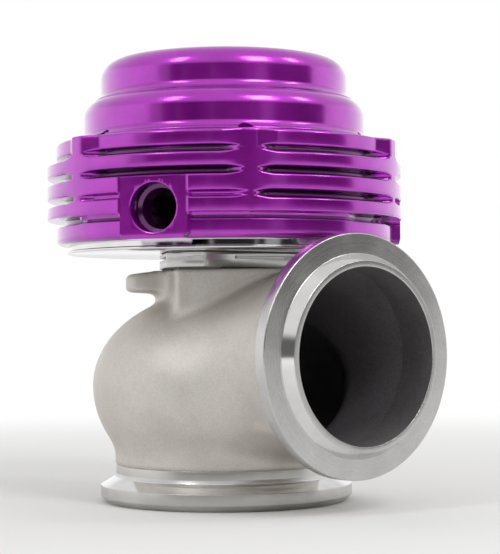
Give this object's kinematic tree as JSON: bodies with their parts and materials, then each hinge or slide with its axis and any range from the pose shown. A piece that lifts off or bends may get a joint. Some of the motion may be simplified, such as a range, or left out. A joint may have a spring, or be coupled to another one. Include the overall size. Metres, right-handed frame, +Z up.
{
  "type": "turbo wastegate",
  "caption": "External wastegate: stainless valve body with round clamp flanges, sprung poppet valve, heat spacer, and a finned purple diaphragm actuator with a stepped cap.",
  "frame": {"origin": "centre of the inlet flange's bottom face, on the valve stem's axis", "axes": "+Z up along the valve stem, from the inlet towards the cap; +X along the outlet, away from the stem; Y completes the right-handed frame"},
  "size_m": [0.1005, 0.0918, 0.1136],
  "materials": {
    "cast_stainless": "bead-blasted casting, machined flange faces",
    "machined_stainless": "machined, satin",
    "polished_stainless": "polished stainless steel",
    "alloy_steel": "machined",
    "spring_steel": "drawn wire",
    "gasket_steel": "coated sheet, matt",
    "bronze": "machined",
    "purple_aluminium": "anodised purple, glossy",
    "plain_aluminium": "machined",
    "diaphragm_rubber": "fabric-reinforced, matt",
    "seal_rubber": "matt"
  },
  "bodies": {
    "gate_body": {"valve_body": "cast_stainless", "valve_seat": "alloy_steel", "valve_guide": "bronze", "stem_scraper": "gasket_steel", "stem_seal": "seal_rubber", "seal_retainer": "alloy_steel", "body_gasket": "gasket_steel", "heat_spacer": "machined_stainless", "base_gasket": "gasket_steel", "base_plate": "polished_stainless", "base_screws": "alloy_steel", "screw_washers": "bronze", "actuator_housing": "purple_aluminium", "diaphragm": "diaphragm_rubber", "outer_spring": "spring_steel", "middle_spring": "spring_steel", "inner_spring": "spring_steel", "actuator_cap": "purple_aluminium", "retaining_ring": "spring_steel"},
    "valve_group": {"valve": "alloy_steel", "lower_plate": "plain_aluminium", "upper_plate": "plain_aluminium", "stem_washer": "alloy_steel", "stem_nut": "alloy_steel"}
  },
  "joints": [
    {"name": "valve_lift", "type": "slide", "parent": "gate_body", "child": "valve_group", "axis": [0, 0, 1], "range_m": [0, 0.011], "stiffness_N_per_m": 15000, "springref_m": -0.015, "deforming": ["outer_spring", "middle_spring", "inner_spring", "diaphragm"]}
  ]
}
